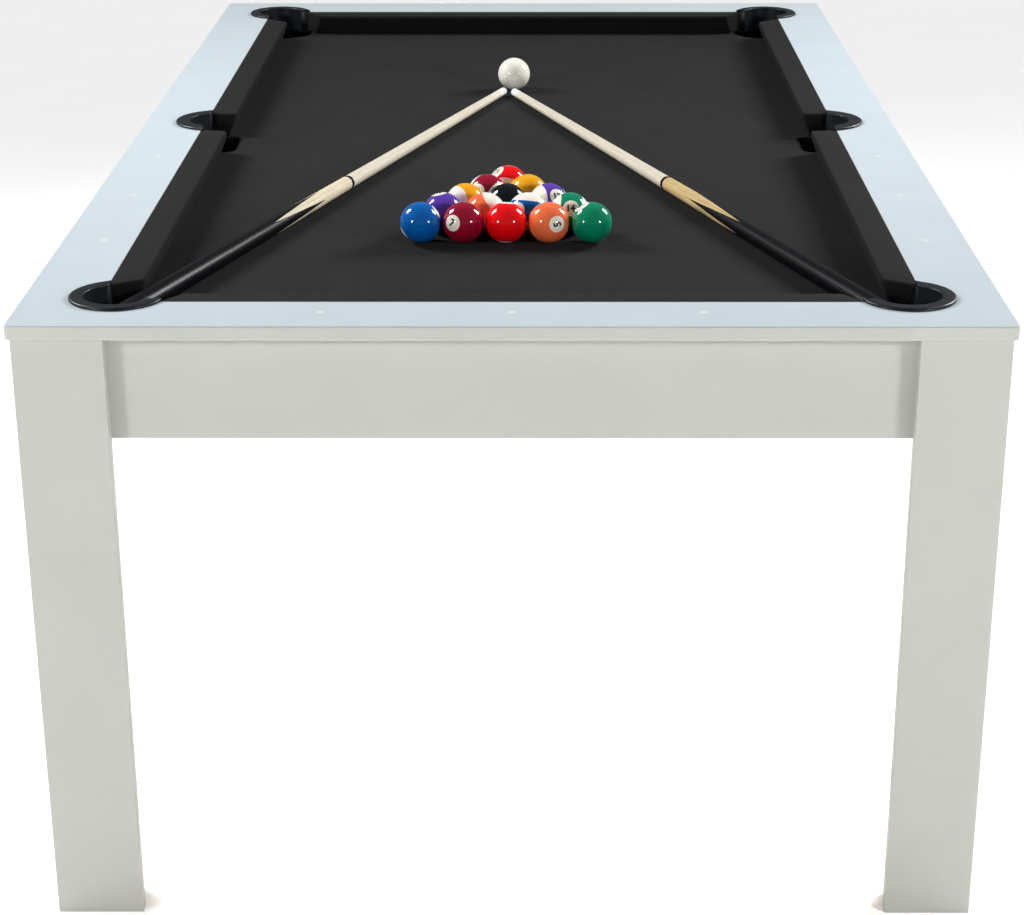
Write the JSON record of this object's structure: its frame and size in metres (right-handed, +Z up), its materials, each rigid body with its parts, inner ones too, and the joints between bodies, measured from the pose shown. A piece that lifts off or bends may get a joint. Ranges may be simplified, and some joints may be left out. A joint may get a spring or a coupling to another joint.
{
  "type": "pool table",
  "caption": "Pool table with plain board legs, a pale laminated rail top, dark cloth, drop pockets, racked balls and crossed cues.",
  "frame": {"origin": "on the floor, under the middle of the table", "axes": "+X across the table, +Y along it towards the end away from the racked balls, +Z up"},
  "size_m": [1.21, 2.134, 0.8324],
  "materials": {
    "rail_laminate": "pale grey melamine laminate on fibreboard, satin",
    "panel_laminate": "warm pale grey melamine laminate on fibreboard, satin",
    "sight_pearl": "pearl inlay, polished",
    "frame_timber": "planed softwood, bare",
    "zinc_steel": "zinc plated",
    "foot_steel": "zinc plated stud on a steel glide",
    "playfield_fibreboard": "bare medium density fibreboard",
    "playing_cloth": "short napped black billiard cloth",
    "cushion_cloth": "black billiard cloth stretched over rubber on a wood strip",
    "pocket_plastic": "moulded black plastic with a soft sheen",
    "cue_maple": "pale maple, clear lacquer",
    "cue_black_lacquer": "black gloss lacquer with pale wood points",
    "ball_ivory": "polished phenolic resin, ivory white",
    "ball_yellow": "polished phenolic resin",
    "ball_blue": "polished phenolic resin",
    "ball_red": "polished phenolic resin",
    "ball_purple": "polished phenolic resin",
    "ball_orange": "polished phenolic resin",
    "ball_green": "polished phenolic resin",
    "ball_maroon": "polished phenolic resin",
    "ball_black": "polished phenolic resin"
  },
  "bodies": {
    "table": {"apron_back": "panel_laminate", "apron_front": "panel_laminate", "apron_left": "panel_laminate", "apron_right": "panel_laminate", "cross_beams": "frame_timber", "cushion_back": "cushion_cloth", "cushion_front": "cushion_cloth", "cushion_side_back_left": "cushion_cloth", "cushion_side_back_right": "cushion_cloth", "cushion_side_front_left": "cushion_cloth", "cushion_side_front_right": "cushion_cloth", "foot_inserts": "zinc_steel", "leg_back_left_end_board": "panel_laminate", "leg_back_left_side_board": "panel_laminate", "leg_back_right_end_board": "panel_laminate", "leg_back_right_side_board": "panel_laminate", "leg_bolts": "zinc_steel", "leg_foot_blocks": "frame_timber", "leg_front_left_end_board": "panel_laminate", "leg_front_left_side_board": "panel_laminate", "leg_front_right_end_board": "panel_laminate", "leg_front_right_side_board": "panel_laminate", "playfield_board": "playfield_fibreboard", "playfield_cloth": "playing_cloth", "pocket_back_left": "pocket_plastic", "pocket_back_right": "pocket_plastic", "pocket_front_left": "pocket_plastic", "pocket_front_right": "pocket_plastic", "pocket_side_left": "pocket_plastic", "pocket_side_right": "pocket_plastic", "rail_back": "rail_laminate", "rail_front": "rail_laminate", "rail_left": "rail_laminate", "rail_right": "rail_laminate", "rail_sights": "sight_pearl", "support_cleats": "frame_timber"},
    "ball_01": {"ball_01": "ball_yellow"},
    "ball_02": {"ball_02": "ball_blue"},
    "ball_03": {"ball_03": "ball_red"},
    "ball_04": {"ball_04": "ball_purple"},
    "ball_05": {"ball_05": "ball_orange"},
    "ball_06": {"ball_06": "ball_green"},
    "ball_07": {"ball_07": "ball_maroon"},
    "ball_08": {"ball_08": "ball_black"},
    "ball_09": {"ball_09": "ball_yellow"},
    "ball_10": {"ball_10": "ball_blue"},
    "ball_11": {"ball_11": "ball_red"},
    "ball_12": {"ball_12": "ball_purple"},
    "ball_13": {"ball_13": "ball_orange"},
    "ball_14": {"ball_14": "ball_green"},
    "ball_15": {"ball_15": "ball_maroon"},
    "ball_cue": {"ball_cue": "ball_ivory"},
    "cue_left": {"cue_left_butt": "cue_black_lacquer", "cue_left_shaft": "cue_maple"},
    "cue_right": {"cue_right_butt": "cue_black_lacquer", "cue_right_shaft": "cue_maple"},
    "leveller_back_left": {"leveller_back_left": "foot_steel"},
    "leveller_back_right": {"leveller_back_right": "foot_steel"},
    "leveller_front_left": {"leveller_front_left": "foot_steel"},
    "leveller_front_right": {"leveller_front_right": "foot_steel"}
  },
  "joints": [
    {"name": "ball_01_lift", "type": "slide", "parent": "table", "child": "ball_01", "axis": [0, 0, 1], "range_m": [0, 0.3]},
    {"name": "ball_02_lift", "type": "slide", "parent": "table", "child": "ball_02", "axis": [0, 0, 1], "range_m": [0, 0.3]},
    {"name": "ball_03_lift", "type": "slide", "parent": "table", "child": "ball_03", "axis": [0, 0, 1], "range_m": [0, 0.3]},
    {"name": "ball_04_lift", "type": "slide", "parent": "table", "child": "ball_04", "axis": [0, 0, 1], "range_m": [0, 0.3]},
    {"name": "ball_05_lift", "type": "slide", "parent": "table", "child": "ball_05", "axis": [0, 0, 1], "range_m": [0, 0.3]},
    {"name": "ball_06_lift", "type": "slide", "parent": "table", "child": "ball_06", "axis": [0, 0, 1], "range_m": [0, 0.3]},
    {"name": "ball_07_lift", "type": "slide", "parent": "table", "child": "ball_07", "axis": [0, 0, 1], "range_m": [0, 0.3]},
    {"name": "ball_08_lift", "type": "slide", "parent": "table", "child": "ball_08", "axis": [0, 0, 1], "range_m": [0, 0.3]},
    {"name": "ball_09_lift", "type": "slide", "parent": "table", "child": "ball_09", "axis": [0, 0, 1], "range_m": [0, 0.3]},
    {"name": "ball_10_lift", "type": "slide", "parent": "table", "child": "ball_10", "axis": [0, 0, 1], "range_m": [0, 0.3]},
    {"name": "ball_11_lift", "type": "slide", "parent": "table", "child": "ball_11", "axis": [0, 0, 1], "range_m": [0, 0.3]},
    {"name": "ball_12_lift", "type": "slide", "parent": "table", "child": "ball_12", "axis": [0, 0, 1], "range_m": [0, 0.3]},
    {"name": "ball_13_lift", "type": "slide", "parent": "table", "child": "ball_13", "axis": [0, 0, 1], "range_m": [0, 0.3]},
    {"name": "ball_14_lift", "type": "slide", "parent": "table", "child": "ball_14", "axis": [0, 0, 1], "range_m": [0, 0.3]},
    {"name": "ball_15_lift", "type": "slide", "parent": "table", "child": "ball_15", "axis": [0, 0, 1], "range_m": [0, 0.3]},
    {"name": "ball_cue_lift", "type": "slide", "parent": "table", "child": "ball_cue", "axis": [0, 0, 1], "range_m": [0, 0.3]},
    {"name": "cue_left_lift", "type": "slide", "parent": "table", "child": "cue_left", "axis": [0, 0, 1], "range_m": [0, 0.3]},
    {"name": "cue_right_lift", "type": "slide", "parent": "table", "child": "cue_right", "axis": [0, 0, 1], "range_m": [0, 0.3]},
    {"name": "leveller_back_left_screw", "type": "slide", "parent": "table", "child": "leveller_back_left", "axis": [0, 0, -1], "range_m": [0, 0.02]},
    {"name": "leveller_back_right_screw", "type": "slide", "parent": "table", "child": "leveller_back_right", "axis": [0, 0, -1], "range_m": [0, 0.02]},
    {"name": "leveller_front_left_screw", "type": "slide", "parent": "table", "child": "leveller_front_left", "axis": [0, 0, -1], "range_m": [0, 0.02]},
    {"name": "leveller_front_right_screw", "type": "slide", "parent": "table", "child": "leveller_front_right", "axis": [0, 0, -1], "range_m": [0, 0.02]}
  ]
}
